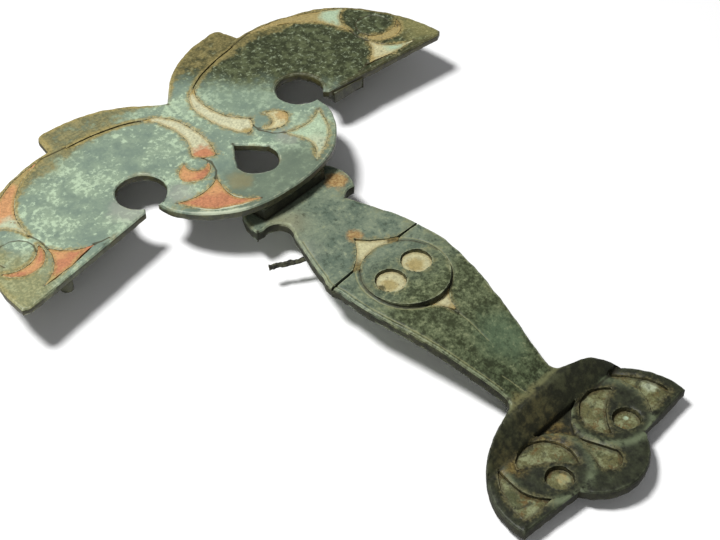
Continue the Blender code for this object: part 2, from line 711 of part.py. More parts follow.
def settle(frame, group):
    """Lean the brooch until its head's top edge and its foot's end both touch the ground."""
    points = [item.matrix_world @ v.co for item in group.objects if item.type == "MESH" for v in item.data.vertices]
    head_y = max(p.y for p in points)
    foot = min(points, key=lambda p: p.y)
    lean = math.atan2(-HEAD_THICKNESS - (foot_level() - FOOT_THICKNESS), head_y - foot.y)
    turned = [Matrix.Rotation(-lean, 4, "X") @ p for p in points]
    low = [min(p[k] for p in turned) for k in range(3)]
    high = [max(p[k] for p in turned) for k in range(3)]
    frame.rotation_euler = (-lean, 0.0, 0.0)
    frame.location = (-(low[0] + high[0]) / 2, -(low[1] + high[1]) / 2, -low[2])


def enamel_materials():
    """The material of each bed of enamel, by the piece's name; cream wherever nothing else is said."""
    red = make_material("red_enamel", (0.62, 0.24, 0.13), 0.55, 0.0)
    cream = make_material("cream_enamel", (0.74, 0.74, 0.50), 0.60, 0.0)
    turquoise = make_material("turquoise_enamel", (0.50, 0.68, 0.55), 0.55, 0.0)
    ochre = make_material("ochre_bed", (0.42, 0.38, 0.20), 0.75, 0.0)
    places = [side + "_" + name for side in ("left", "right") for name in list(HEAD_CELLS) + ["boss_hole"]]
    beds = dict.fromkeys(places + ["bow_head", "bow_tail"], cream)
    for name in ("wing_crescent", "wing_dot_crescent", "wing_triangle", "notch_crescent", "pendant_triangle"):
        beds["left_" + name] = red
    for name in ("wing_triangle", "pendant_triangle"):
        beds["right_" + name] = turquoise
    for name in [*FOOT_CELLS, "foot_hole"]:
        beds["left_" + name] = ochre
        beds["right_" + name] = ochre
    beds["foot_drop"] = ochre
    return {name + "_enamel": material for name, material in beds.items()}


def main():
    clear_scene()
    group = new_collection("bow_brooch")
    cutters = new_collection("cutters")
    frame = bpy.data.objects.new("brooch_frame", None)
    group.objects.link(frame)
    bronze = make_material("patinated_bronze", (0.28, 0.35, 0.29), 0.62, 0.25)
    bar_metal = make_material("corroded_bar", (0.10, 0.11, 0.09), 0.80, 0.20)
    enamels = enamel_materials()
    build_head(group, cutters, bronze, enamels, frame)
    build_bow(group, cutters, bronze, enamels, frame)
    build_bar(group, bar_metal, frame)
    bpy.context.view_layer.update()
    settle(frame, group)


main()
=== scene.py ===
"""A winged bow brooch of cast copper alloy with enamelled cells, as it was dug up: patinated and showing
wear.

The sections follow the brooch as it is put together: the view of it, the head plate, the enamel in its
cells, the bow with its boss and foot, the enamel there, and the stump of the spring's bar.
"""
import math

import bmesh
import bpy
from mathutils import Matrix, Vector, kdtree, noise


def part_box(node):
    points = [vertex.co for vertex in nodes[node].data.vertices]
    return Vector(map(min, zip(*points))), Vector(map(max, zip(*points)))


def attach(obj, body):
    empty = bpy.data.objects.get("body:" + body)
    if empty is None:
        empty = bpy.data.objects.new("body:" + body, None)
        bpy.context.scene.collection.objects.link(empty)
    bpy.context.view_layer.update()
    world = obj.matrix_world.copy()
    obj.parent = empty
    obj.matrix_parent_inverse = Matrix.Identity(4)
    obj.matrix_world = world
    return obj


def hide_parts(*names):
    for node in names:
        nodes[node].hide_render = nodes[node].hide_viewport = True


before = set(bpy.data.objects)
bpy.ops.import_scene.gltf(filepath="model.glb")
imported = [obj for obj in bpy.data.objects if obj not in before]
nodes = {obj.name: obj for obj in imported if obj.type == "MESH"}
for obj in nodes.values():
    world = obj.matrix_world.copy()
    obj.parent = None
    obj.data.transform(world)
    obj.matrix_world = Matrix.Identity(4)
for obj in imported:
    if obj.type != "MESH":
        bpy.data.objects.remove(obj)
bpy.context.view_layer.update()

# The view. The brooch lies on a plain white table under one large soft light behind it on the left,
# with bright surroundings; the camera looks down on it from beside its left wing, head plate away.
HALF_WIDTH = (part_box("head_plate")[1][0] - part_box("head_plate")[0][0]) / 2
CREST_HEIGHT = 0.197
CAMERA_PLACE = (-2.7061, -3.4047, 3.2956)
CAMERA_RIGHT = (0.67166, -0.74085, -0.00352)
CAMERA_UP = (0.51503, 0.46351, 0.72104)
FOCAL_PIXELS = 1507.3
IMAGE_WIDTH_PIXELS = 720
SENSOR_WIDTH = 36.0
MM = 0.001


def plate_frame():
    """The frame of the head plate's face: +Z out of it, +Y to its crest, zero at its middle notch."""
    mesh = nodes["head_plate"].data
    up = Vector((0.0, 0.0, 0.0))
    for face in mesh.polygons:
        if face.normal.z > 0.9:
            up += face.normal * face.area
    lean = math.atan2(-up.y, up.z)
    turn = Matrix.Rotation(-lean, 4, "X")
    corners = [turn @ vertex.co for vertex in mesh.vertices]
    middle = (min(p.x for p in corners) + max(p.x for p in corners)) / 2
    crest = max(p.y for p in corners)
    face_height = max(p.z for p in corners)
    origin = Vector((middle, crest - CREST_HEIGHT * HALF_WIDTH, face_height))
    return Matrix.Translation(-origin) @ turn


TO_PLATE = plate_frame()
FROM_PLATE = TO_PLATE.inverted()

right = FROM_PLATE.to_3x3() @ Vector(CAMERA_RIGHT)
up = FROM_PLATE.to_3x3() @ Vector(CAMERA_UP)
backward = right.cross(up).normalized()
camera_data = bpy.data.cameras.new("camera")
camera_data.lens = FOCAL_PIXELS / IMAGE_WIDTH_PIXELS * SENSOR_WIDTH
camera_data.sensor_width = SENSOR_WIDTH
camera_data.clip_start = 0.005
camera = bpy.data.objects.new("camera", camera_data)
turn = Matrix((right, backward.cross(right), backward)).transposed().to_4x4()
camera.matrix_world = Matrix.Translation(FROM_PLATE @ (Vector(CAMERA_PLACE) * HALF_WIDTH)) @ turn
bpy.context.scene.collection.objects.link(camera)
bpy.context.scene.camera = camera
bpy.context.scene.view_settings.view_transform = "Standard"

FLOOR_SIZE = 3.0


class Wire:
    """A value, vector or colour in a material. Arithmetic on a value adds its Math nodes."""

    def __init__(self, tree, socket):
        self.tree = tree
        self.socket = socket

    def node(self, kind, settings, values, output=0):
        made = self.tree.nodes.new(kind)
        for name, setting in settings.items():
            setattr(made, name, setting)
        for name, value in values.items():
            if isinstance(value, Wire):
                self.tree.links.new(value.socket, made.inputs[name])
            else:
                made.inputs[name].default_value = value
        return Wire(self.tree, made.outputs[output])

    def math(self, operation, *others):
        return self.node("ShaderNodeMath", {"operation": operation}, dict(enumerate((self, *others))))

    def __add__(self, other):
        return self.math("ADD", other)

    def __sub__(self, other):
        return self.math("SUBTRACT", other)

    def __mul__(self, other):
        return self.math("MULTIPLY", other)

    def __neg__(self):
        return self * -1.0

    def __rsub__(self, other):
        return -self + other

    __radd__ = __add__
    __rmul__ = __mul__

    def rise(self, low, high):
        """A smooth step from 0 at low to 1 at high."""
        settings = {"interpolation_type": "SMOOTHSTEP"}
        if low > high:
            return 1.0 - self.rise(high, low)
        return self.node("ShaderNodeMapRange", settings, {"Value": self, "From Min": low, "From Max": high})


def mix(first, second, share):
    """A colour between two, each given as a colour wire or as plain numbers."""
    source = share if isinstance(share, Wire) else second
    values = {0: share, 6: first, 7: second}
    return source.node("ShaderNodeMix", {"data_type": "RGBA"}, values, 2)


def srgb(red, green, blue, share=0.80):
    """A colour as it looks on the table, from 0 to 255, less the share by which the light is past white."""
    linear = [((c / 255 + 0.055) / 1.055) ** 2.4 if c > 10 else c / 255 / 12.92 for c in (red, green, blue)]
    return (*[value * share for value in linear], 1.0)


def new_material(name, finish):
    """A material whose finish function gets the position in the plate's frame, in millimetres."""
    material = bpy.data.materials.new(name)
    material.use_nodes = True
    tree = material.node_tree
    shader = tree.nodes["Principled BSDF"]
    start = Wire(tree, tree.nodes.new("ShaderNodeTexCoord").outputs["Object"])
    place = start.node("ShaderNodeMapping", {}, {
        "Vector": start,
        "Location": TO_PLATE.to_translation() / MM,
        "Rotation": TO_PLATE.to_euler(),
        "Scale": (1 / MM, 1 / MM, 1 / MM),
    })
    for label, value in finish(place).items():
        if isinstance(value, Wire):
            tree.links.new(value.socket, shader.inputs[label])
        else:
            shader.inputs[label].default_value = value
    return material


def grain(place, size, detail=3.0, roughness=0.55, distortion=0.0):
    """Cloudy noise with lumps of about the given size in millimetres."""
    values = {"Vector": place, "Scale": 1 / size, "Detail": detail, "Roughness": roughness,
              "Distortion": distortion}
    return place.node("ShaderNodeTexNoise", {}, values)


def crumbs(place, size):
    """The distance to the nearest of scattered points about one size apart, in sizes."""
    return place.node("ShaderNodeTexVoronoi", {}, {"Vector": place, "Scale": 1 / size})


def axis(place, name):
    return place.node("ShaderNodeSeparateXYZ", {}, {0: place}, "XYZ".index(name))


def table_finish(place):
    tone = grain(place, 90.0, 2.0)
    return {
        "Base Color": mix(srgb(248, 248, 247, 1.0), srgb(252, 252, 252, 1.0), tone),
        "Roughness": 0.75 + tone * 0.1,
        "Specular IOR Level": 0.2,
    }


form = bmesh.new()
bmesh.ops.create_grid(form, x_segments=8, y_segments=8, size=FLOOR_SIZE / 2)
table_mesh = bpy.data.meshes.new("table")
form.to_mesh(table_mesh)
form.free()
table = bpy.data.objects.new("table", table_mesh)
bpy.context.scene.collection.objects.link(table)
table.data.materials.append(new_material("white_table", table_finish))

LIGHTS = {
    "window": {"place": (-0.19, 0.21, 0.53), "size": 0.13, "power": 4.1},
    "room": {"place": (-0.50, -0.30, 0.35), "size": 0.45, "power": 0.45},
}
for name, light in LIGHTS.items():
    lamp = bpy.data.lights.new(name, "AREA")
    lamp.shape = "DISK"
    lamp.size = light["size"]
    lamp.energy = light["power"]
    holder = bpy.data.objects.new(name, lamp)
    holder.location = light["place"]
    holder.rotation_euler = (-Vector(light["place"])).to_track_quat("-Z", "Y").to_euler()
    bpy.context.scene.collection.objects.link(holder)

world = bpy.data.worlds.new("bright_room")
world.use_nodes = True
world.node_tree.nodes["Background"].inputs["Color"].default_value = (0.97, 0.98, 1.0, 1.0)
world.node_tree.nodes["Background"].inputs["Strength"].default_value = 0.16
bpy.context.scene.world = world

# The head plate. The real one is a flat casting of copper alloy, pierced and cut with cells, whose
# face has gone grey-green on the left and olive-black on the right wing, with ochre earth at its rims.
SHARP = math.radians(24)
CREASE = math.radians(40)
NEARLY_FLAT = math.radians(0.6)
SPLITS = 2
FACING_UP = 0.6
EDGE_SAMPLE = 0.15 * MM
SAME_POINT = 1e-6
GRID = 1.6 * MM
LINE_SAMPLE = 0.05 * MM
WEAR_DEPTH = 0.09 * MM
WEAR_REACH = 0.24 * MM
WAVE_DEPTH = 0.045 * MM
LUMP_DEPTH = 0.020 * MM
PIT_DEPTH = 0.070 * MM
RIM_REACH = 0.55 * MM
CORNER_REACH = 0.45 * MM
MARGIN_REACH = 1.8 * MM
FRINGE_REACH = 0.80 * MM
FULL_RAISE = 0.1 * MM
HEAD_LINE_WIDTH = 0.15 * MM
HEAD_LINE_DEPTH = 0.18 * MM
HEAD_LINE_REACH = 0.35 * MM
DOT_PLACE = (0.855, -0.225)
DOT_RADIUS = 0.066
TIP_ANGLE = math.radians(85)
MARKS = ("rim", "corner", "line", "fringe", "margin", "raised")


def units(*place):
    """A place given as shares of the head's half width, as a vector in metres."""
    return Vector((*place, 0.0)[:3]) * HALF_WIDTH


def arc(centre, radius, start, end):
    """Points along an arc in the plate's plane, in shares of the half width, angles in degrees."""
    count = max(8, int(abs(end - start) * radius * 0.6))
    turns = [math.radians(start + (end - start) * k / count) for k in range(count + 1)]
    return [(centre[0] + radius * math.cos(t), centre[1] + radius * math.sin(t)) for t in turns]


def merged_copy(node):
    """The node's solid as a closed mesh in the plate's frame."""
    form = bmesh.new()
    form.from_mesh(nodes[node].data)
    bmesh.ops.transform(form, matrix=TO_PLATE, verts=form.verts)
    bmesh.ops.remove_doubles(form, verts=form.verts, dist=SAME_POINT)
    return form


def edge_trees(form):
    """Two search trees of points along the sharp edges: the outward ones and the inward ones."""
    samples = {True: [], False: []}
    for edge in form.edges:
        if len(edge.link_faces) != 2:
            continue
        angle = edge.calc_face_angle_signed(0.0)
        if abs(angle) < SHARP:
            continue
        count = max(1, round(edge.calc_length() / EDGE_SAMPLE))
        a, b = edge.verts[0].co, edge.verts[1].co
        samples[angle > 0].extend(a.lerp(b, k / count) for k in range(count + 1))
    return [tree_of(points) for points in (samples[True], samples[False])]


def tree_of(points):
    tree = kdtree.KDTree(max(1, len(points)))
    for index, point in enumerate(points):
        tree.insert(point, index)
    tree.balance()
    return tree


def cell_tips(node):
    """The pointed corners on the floors of the node's cells."""
    form = merged_copy(node)
    tips = []
    for vertex in form.verts:
        ways = []
        for edge in vertex.link_edges:
            if len(edge.link_faces) == 2 and edge.calc_face_angle_signed(0.0) < -SHARP:
                way = edge.other_vert(vertex).co - vertex.co
                if abs(way.z) < way.length / 2:
                    ways.append(way)
        if len(ways) == 2 and ways[0].angle(ways[1]) < TIP_ANGLE:
            tips.append(vertex.co.copy())
    form.free()
    return tips


def bed_tree(names):
    """A search tree of points along the upper edges of beds of enamel."""
    points = []
    for name in names:
        form = merged_copy(name)
        top = max(vertex.co.z for vertex in form.verts)
        for edge in form.edges:
            a, b = edge.verts[0].co, edge.verts[1].co
            if min(a.z, b.z) > top - 0.1 * MM and abs(edge.calc_face_angle(0.0)) > SHARP:
                count = max(1, round((b - a).length / EDGE_SAMPLE))
                points.extend(a.lerp(b, k / count) for k in range(count + 1))
        form.free()
    return tree_of(points)


def line_tree(lines):
    """A search tree of points along carved lines, laid flat."""
    points = []
    for line in lines:
        places = [units(*place) for place in line]
        for a, b in zip(places, places[1:]):
            count = max(1, round((b - a).length / LINE_SAMPLE))
            points.extend(a.lerp(b, k / count) for k in range(count))
        points.append(places[-1])
    return tree_of(points)


def cut_in_grid(form, pitch):
    """Cut all faces along the lines of a square grid, so that they can be worked finely."""
    for side in range(2):
        low = min(vertex.co[side] for vertex in form.verts)
        high = max(vertex.co[side] for vertex in form.verts)
        normal = Vector((1.0, 0.0, 0.0)) if side == 0 else Vector((0.0, 1.0, 0.0))
        for k in range(1, int((high - low) / pitch) + 1):
            geometry = form.verts[:] + form.edges[:] + form.faces[:]
            bmesh.ops.bisect_plane(form, geom=geometry, dist=SAME_POINT, plane_co=normal * (low + k * pitch),
                                   plane_no=normal)


def subdivided(form, name):
    """The form with every face split in four, SPLITS times over, as a bmesh again."""
    mesh = bpy.data.meshes.new(name)
    form.to_mesh(mesh)
    form.free()
    holder = bpy.data.objects.new(name, mesh)
    bpy.context.scene.collection.objects.link(holder)
    change = holder.modifiers.new("fine", "SUBSURF")
    change.subdivision_type = "SIMPLE"
    change.levels = SPLITS
    change.render_levels = SPLITS
    fine = bpy.data.meshes.new_from_object(holder.evaluated_get(bpy.context.evaluated_depsgraph_get()))
    bpy.data.objects.remove(holder)
    bpy.data.meshes.remove(mesh)
    form = bmesh.new()
    form.from_mesh(fine)
    bpy.data.meshes.remove(fine)
    return form


def refine_along(form, tree, reach):
    """Split the edges that lie close to carved lines, for crisp grooves."""
    for _ in range(SPLITS):
        near = []
        for edge in form.edges:
            middle = (edge.verts[0].co + edge.verts[1].co) / 2
            if tree.find((middle.x, middle.y, 0.0))[2] < reach + edge.calc_length() / 2:
                near.append(edge)
        bmesh.ops.subdivide_edges(form, edges=near, cuts=1, use_grid_fill=True)


def cloud(point, size, octaves=2):
    """Smooth noise about zero with lumps of a size in millimetres."""
    return noise.fractal(point / (size * MM), 0.8, 2.0, octaves)


def pits(point, size):
    """Round pits scattered in patches: 1 in the middle of a pit, 0 outside."""
    distance = noise.voronoi(point / (size * MM))[0][0]
    patch = 0.5 + 0.8 * cloud(point + Vector((0.05, 0.0, 0.0)), size * 6)
    return max(0.0, 1.0 - distance / 0.42) * min(1.0, max(0.0, patch))


def worn_metal(form, trees, beds, lines, line_width, line_depth, roughness, relief=None):
    """Wear the edges, wave and pit the faces and cut the carved lines; returns what the finish reads."""
    outward, inward = trees
    form.normal_update()
    moves = []
    marks = []
    for vertex in form.verts:
        p, n = vertex.co, vertex.normal
        to_rim = outward.find(p)[2]
        to_corner = inward.find(p)[2]
        rim = math.exp(-(to_rim / WEAR_REACH) ** 2)
        gnaw = 0.55 + 1.1 * cloud(p, 1.6) + max(0.0, cloud(p, 4.5) - 0.25) * 3.0
        depth = -rim * WEAR_DEPTH * min(2.4, max(0.1, gnaw))
        rough = roughness(p)
        free = min(1.0, to_rim / (0.5 * MM))
        depth += WAVE_DEPTH * cloud(p, 7.0) * free
        depth += LUMP_DEPTH * cloud(p, 0.9, 3) * rough
        depth -= PIT_DEPTH * pits(p, 1.1) * rough * free
        groove = 0.0
        raised = 0.0
        if relief and n.z > FACING_UP:
            raised = relief(p)
            depth += raised
        if n.z > FACING_UP:
            groove = math.exp(-(lines.find((p.x, p.y, 0.0))[2] / line_width) ** 2)
            depth -= groove * line_depth * (0.75 + 0.5 * cloud(p, 2.0))
        moves.append(n * depth)
        near_rim = math.exp(-to_rim / RIM_REACH)
        near_corner = math.exp(-to_corner / CORNER_REACH)
        fringe = math.exp(-beds.find(p)[2] / FRINGE_REACH)
        margin = math.exp(-to_rim / MARGIN_REACH)
        marks.append((near_rim, near_corner, groove, fringe, margin, max(0.0, raised) / FULL_RAISE))
    for vertex, move in zip(form.verts, moves):
        vertex.co += move
    return marks


def finished(name, form, marks):
    """Turn a worked form into a piece at rest in the brooch, with its marks as attributes."""
    for column, label in enumerate(MARKS):
        layer = form.verts.layers.float.new(label)
        for vertex, row in zip(form.verts, marks):
            vertex[layer] = row[column]
    form.normal_update()
    layer = form.faces.layers.float.new("side")
    for face in form.faces:
        face[layer] = 1.0 - min(1.0, abs(face.normal.z))
    many = [face for face in form.faces if len(face.verts) > 4]
    bmesh.ops.triangulate(form, faces=many)
    bmesh.ops.transform(form, matrix=FROM_PLATE, verts=form.verts)
    mesh = bpy.data.meshes.new(name)
    form.to_mesh(mesh)
    form.free()
    mesh.shade_smooth()
    mesh.set_sharp_from_angle(angle=CREASE)
    piece = bpy.data.objects.new(name, mesh)
    bpy.context.scene.collection.objects.link(piece)
    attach(piece, "root")
    return piece


def mark(place, name):
    """One of the marks that worn_metal and finished leave on a piece."""
    return place.node("ShaderNodeAttribute", {"attribute_name": name}, {}, 2)


def spot(place, centre, radius, softness=0.5):
    """1 in a round spot at a place given in shares of the half width, 0 outside it."""
    middle = (centre[0] * HALF_WIDTH / MM, centre[1] * HALF_WIDTH / MM)
    x, y = axis(place, "X") - middle[0], axis(place, "Y") - middle[1]
    away = (x * x + y * y).math("SQRT") + (grain(place, radius * 0.5) - 0.5) * radius * 1.2
    return away.rise(radius * (1 + softness), radius * (1 - softness))


def spots(place, first, *others):
    """1 in any of several round spots, each given as its centre and radius."""
    total = spot(place, *first)
    for other in others:
        total = total + spot(place, *other)
    return total.math("MINIMUM", 1.0)


def head_finish(place):
    x, y = axis(place, "X"), axis(place, "Y")
    cloudy = grain(place, 8.0, 4.0, 0.6)
    patchy = grain(place, 2.6, 5.0, 0.65)
    medium = grain(place, 1.3, 5.0, 0.65)
    fine = grain(place, 0.4, 4.0, 0.7)
    rim, corner, line = mark(place, "rim"), mark(place, "corner"), mark(place, "line")
    side, fringe, margin = mark(place, "side"), mark(place, "fringe"), mark(place, "margin")
    flecks = grain(place, 0.8, 5.0, 0.7)
    ground = (patchy * 0.6 + cloudy * 0.9 + fine * 0.3).rise(0.70, 1.05)
    tint = mix(srgb(122, 141, 126), srgb(156, 175, 148), ground)
    tint = mix(tint, srgb(196, 218, 184), (flecks + cloudy * 0.9 + patchy * 0.2).rise(1.06, 1.17) * 0.85)
    streaks = (grain(place, 4.2, 4.0, 0.6, 0.5) + fine * 0.3).rise(0.68, 0.86)
    tint = mix(tint, srgb(108, 126, 114), streaks * 0.6)
    tint = mix(tint, srgb(116, 136, 118), spot(place, (0.24, -0.16), 6.0, 0.7) * 0.5)
    lavender = spots(place, ((-0.47, -0.33), 2.4), ((-0.30, -0.40), 1.8), ((0.16, -0.46), 1.6))
    tint = mix(tint, srgb(170, 172, 160), lavender * 0.55)
    tint = mix(tint, srgb(98, 111, 91), (y + (cloudy - 0.5) * 10.0).rise(-16.0, -21.0) * 0.65)
    dark = (x + y * 0.8 + (cloudy - 0.5) * 9.0 + (medium - 0.5) * 7.0).rise(3.0, 10.0)
    mottle = (medium + cloudy * 0.3 + fine * 0.3).rise(0.70, 0.98)
    olive = mix(srgb(50, 56, 30), srgb(96, 104, 70), mottle)
    olive = mix(olive, srgb(160, 172, 140), (flecks + fine * 0.4).rise(0.76, 0.88) * 0.7)
    tint = mix(tint, olive, dark)
    tint = mix(tint, srgb(74, 72, 42), (rim + (medium - 0.5) * 0.6).rise(0.45, 0.8) * dark * 0.8)
    crest = (y + x.math("ABSOLUTE") * 0.12 + (cloudy - 0.5) * 6.0).rise(0.5, 5.0)
    earth = (crest * 1.1 + margin * 0.8 + (patchy - 0.5) * 2.0 + (medium - 0.5) * 0.8).rise(0.80, 1.5)
    brown = mix(srgb(92, 88, 48), srgb(156, 140, 84), (fine * 0.7 + medium * 0.5).rise(0.45, 0.78))
    tint = mix(tint, srgb(98, 106, 76), crest * (1.0 - dark) * 0.45)
    tint = mix(tint, brown, earth * 0.78)
    back = (y + x.math("ABSOLUTE") * 0.42).rise(-1.0, 3.0) * (1.0 - fringe.rise(0.5, 0.8))
    gold = mix(srgb(120, 108, 56), srgb(172, 156, 96), (fine + medium * 0.4).rise(0.5, 0.8))
    tint = mix(tint, gold, (rim + (medium - 0.5) * 0.7).rise(0.25, 0.65) * back * (1.0 - dark * 0.5) * 0.85)
    end = spots(place, ((-0.97, -0.34), 5.4), ((-0.93, -0.16), 2.4), ((0.98, -0.36), 3.6))
    straw = mix(srgb(132, 130, 80), srgb(170, 162, 106), fine.rise(0.4, 0.65))
    tint = mix(tint, straw, end * 0.75)
    stain = spots(place, ((-0.12, -0.50), 1.6), ((-0.335, -0.245), 1.2), ((0.03, -0.50), 1.0))
    tint = mix(tint, srgb(156, 140, 88), stain * 0.45)
    halo = (fringe + (medium - 0.5) * 1.2 + (fine - 0.5) * 0.8).rise(0.35, 0.85)
    tint = mix(tint, mix(srgb(118, 106, 58), srgb(180, 162, 104), fine.rise(0.38, 0.62)), halo * 0.85)
    # Pale rubbed rims on the plate's top faces; the bright spot at the left pendant's lower rim is a painted
    # highlight that brightens them further.
    bright = spot(place, (-0.27, -0.57), 3.2, 0.5)
    wear_and_sheen = (rim + fine * 0.5 + medium * 0.4 + bright * 0.35).rise(1.2, 1.55) * (1.0 - side)
    wear_and_sheen = wear_and_sheen * (1.0 - dark * 0.6) * (1.0 - back * 0.8)
    tint = mix(tint, srgb(214, 222, 192), wear_and_sheen * (0.6 + bright * 0.3))
    shade = (corner * (1.0 - back * 0.45) + line + (medium - 0.5) * 0.9).rise(0.40, 0.95)
    tint = mix(tint, srgb(66, 60, 34), shade * 0.8)
    # Painted shade: the plate's side walls are darkened as faces turned from the light, less so beside the
    # enamel.
    painted_wall_shade = mix(srgb(34, 33, 17), srgb(84, 80, 44), (medium + fine * 0.5).rise(0.5, 0.95))
    tint = mix(tint, painted_wall_shade, side.rise(0.45, 0.85) * (0.95 - fringe * 0.5))
    # Painted shade: everything below the plate's face, such as its lugs, is darkened as if in the shade under
    # the plate.
    painted_underside_shade = axis(place, "Z").rise(-0.9, -1.2)
    tint = mix(tint, mix(srgb(48, 50, 32), srgb(84, 86, 58), medium.rise(0.35, 0.7)), painted_underside_shade * 0.95)
    grit = (crumbs(place, 0.5) * 0.4).math("MINIMUM", 0.25)
    height = fine * 0.6 + grain(place, 0.22, 3.0, 0.7) * 0.5 + grit
    normal = place.node("ShaderNodeBump", {}, {"Strength": 0.6, "Distance": 0.06 * MM, "Height": height})
    return {
        "Base Color": tint,
        "Roughness": 0.50 + (fine - 0.5) * 0.35 + shade * 0.25 + earth * 0.2,
        "Metallic": 0.0,
        "Specular IOR Level": 0.42,
        "Normal": normal,
    }


def head_roughness(point):
    """How rough the plate's face is: more so on the right wing and at the crest."""
    x, y = point.x / HALF_WIDTH, point.y / HALF_WIDTH
    return 0.75 + 0.9 * min(1.0, max(0.0, (x - 0.2) / 0.4)) + 0.5 * min(1.0, max(0.0, y / 0.12))


HEAD_LINES = [
    arc(DOT_PLACE, DOT_RADIUS, -20, 215),
    [(0.772, -0.185), (0.762, -0.232), (0.768, -0.278)],
    [(0.655, -0.374), (0.626, -0.383), (0.600, -0.386)],
    [(0.166, -0.430), (0.136, -0.402), (0.116, -0.355), (0.122, -0.318)],
    [(0.400, 0.074), (0.440, 0.080), (0.500, 0.090)],
]
head_lines = line_tree([[(side * x, y) for x, y in line] for line in HEAD_LINES for side in (-1, 1)])
form = merged_copy("head_plate")
head_trees = edge_trees(form)
bmesh.ops.dissolve_limit(form, angle_limit=NEARLY_FLAT, verts=form.verts, edges=form.edges)
cut_in_grid(form, GRID)
form = subdivided(form, "head_fine")
refine_along(form, head_lines, HEAD_LINE_REACH)
beds = bed_tree([name for name in nodes if name.endswith("_enamel")])
marks = worn_metal(form, head_trees, beds, head_lines, HEAD_LINE_WIDTH, HEAD_LINE_DEPTH, head_roughness)
head = finished("head_plate_patina", form, marks)
head.data.materials.append(new_material("head_patina", head_finish))
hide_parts("head_plate")

# The enamel. Each cell was filled with glass paste and fired; what is left has decayed to a matt,
# pitted and shrunken bed in red-orange, cream or pale turquoise, lower at its edges.
RED = (208, 140, 100)
ORANGE = (222, 164, 112)
CREAM = (216, 210, 164)
PALE = (222, 221, 182)
TURQUOISE = (190, 212, 178)
MILK = (202, 212, 178)
BUFF = (182, 164, 108)
UMBER = (92, 84, 50)
OCHRE = (110, 108, 66)
OLIVE = (84, 88, 54)
ENAMEL_GRID = 0.8 * MM
ENAMEL_WEAR = 0.10 * MM
ENAMEL_PITS = 0.10 * MM
BED_GROWTH = 0.095 * MM
TIP_GAP = 0.12 * MM
TIP_LIMIT = 2.0 * MM
HEAD_RISE = 0.09 * MM
FOOT_RISE = -0.29 * MM


def enamel_finish(main, patches, dirt, decay_and_rim_shade):
    """The finish of one bed: its main colour, and others in patches, each with a centre and a reach.

    Dirt is how much earth sits at its rim; the last argument is how far it has gone to mottled grit,
    and also how dark a painted shade lies along its rim.
    """

    def finish(place):
        patchy = grain(place, 2.2, 4.0, 0.65)
        medium = grain(place, 0.9, 4.0, 0.65)
        fine = grain(place, 0.3, 4.0, 0.7)
        light = tuple(min(255, c * 1.06 + 10) for c in main)
        deep = tuple(c * 0.84 for c in main)
        tint = mix(srgb(*deep), srgb(*main), (fine + medium * 0.4 + patchy * 0.3).rise(0.66, 0.98))
        tint = mix(tint, srgb(*light), (fine * 0.7 + patchy * 0.6).rise(0.70, 0.9))
        for other, centre, reach in patches:
            second = mix(srgb(*[c * 0.86 for c in other]), srgb(*other), (fine + medium * 0.4).rise(0.5, 0.8))
            tint = mix(tint, second, spot(place, centre, reach, 0.4))
        rim = mark(place, "rim")
        earth = (rim * 0.9 + medium * 0.7 + patchy * 0.6 + (fine - 0.5) * 0.6).rise(0.95, 1.45)
        tint = mix(tint, mix(srgb(142, 120, 64), srgb(190, 166, 104), fine.rise(0.4, 0.6)), earth * dirt)
        holes = (crumbs(place, 0.8) + (patchy - 0.5) * 1.6).rise(0.12, 0.02)
        tint = mix(tint, srgb(*[c * 0.66 for c in main]), holes * 0.6)
        if decay_and_rim_shade:
            tint = mix(tint, srgb(150, 156, 116), (patchy + fine * 0.4).rise(0.62, 0.84) * decay_and_rim_shade)
            tint = mix(tint, srgb(106, 82, 38), grain(place, 1.3, 4.0, 0.65, 0.3).rise(0.54, 0.68) * decay_and_rim_shade)
            tint = mix(tint, srgb(52, 54, 34), grain(place, 1.9, 4.0, 0.65, 0.6).rise(0.54, 0.70) * decay_and_rim_shade)
            # Painted shade: a dark band along the bed's rim, standing for the shadow of its cell's wall.
            tint = mix(tint, srgb(40, 38, 22), (rim + (medium - 0.5) * 0.8).rise(0.30, 0.75) * decay_and_rim_shade * 0.7)
        height = fine * 0.7 + grain(place, 0.16, 2.0, 0.7) * 0.4 - holes * 0.6 + medium * decay_and_rim_shade
        normal = place.node("ShaderNodeBump", {}, {"Strength": 0.7, "Distance": (0.07 + 0.1 * decay_and_rim_shade) * MM,
                                                   "Height": height})
        return {
            "Base Color": tint,
            "Roughness": 0.62 + (fine - 0.5) * 0.3,
            "Specular IOR Level": 0.35,
            "Normal": normal,
        }

    return finish


def flat(vector):
    return Vector((vector.x, vector.y, 0.0))


def stretch_into_tips(form, node):
    """Draw the bed's blunt corners out into the pointed tips of its cell."""
    for tip, owner in TIP_OWNERS:
        if owner != node:
            continue
        short = min((flat(vertex.co) - tip).length for vertex in form.verts) - TIP_GAP
        reach = max(short * 3, 1.0 * MM)
        if not 0 < short < TIP_LIMIT:
            continue
        for vertex in form.verts:
            away = flat(vertex.co) - tip
            if away.length < reach:
                longer = (away.length - short) * reach / (reach - short)
                vertex.co += away.normalized() * (longer - away.length)


